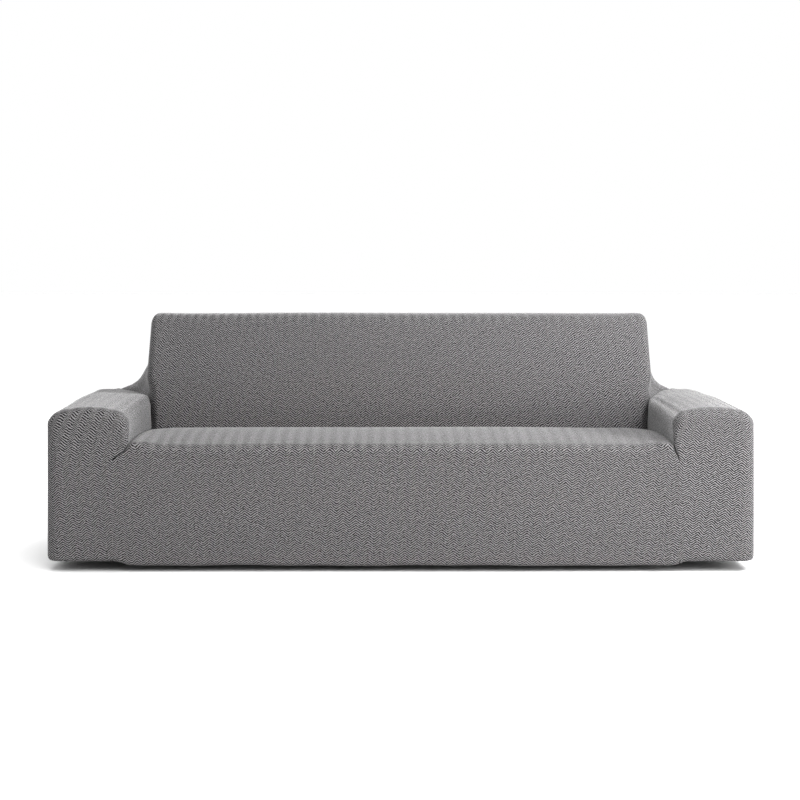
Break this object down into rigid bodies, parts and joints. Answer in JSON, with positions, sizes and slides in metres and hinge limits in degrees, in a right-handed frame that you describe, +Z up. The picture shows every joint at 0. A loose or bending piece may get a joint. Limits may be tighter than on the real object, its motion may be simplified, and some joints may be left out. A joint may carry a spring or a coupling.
{
  "type": "sofa slipcover",
  "caption": "Fitted stretch slipcover for a long sofa with low square arms, hollow and open at the bottom, in fine grey herringbone knit.",
  "frame": {"origin": "underside of the back's top, at half the cover's width and half the back's depth, where the worn cover hangs on the sofa", "axes": "+X along the cover's width, to the right as seen from the front; -Y to the front; +Z up"},
  "size_m": [2.3257, 0.8682, 0.8021],
  "materials": {
    "cover_cloth": "matt herringbone knit"
  },
  "bodies": {
    "root": {"arm_left": "cover_cloth", "arm_right": "cover_cloth", "gusset_left": "cover_cloth", "gusset_right": "cover_cloth", "inside_back": "cover_cloth", "outside_back": "cover_cloth", "seat_and_front_skirt": "cover_cloth"}
  },
  "joints": []
}
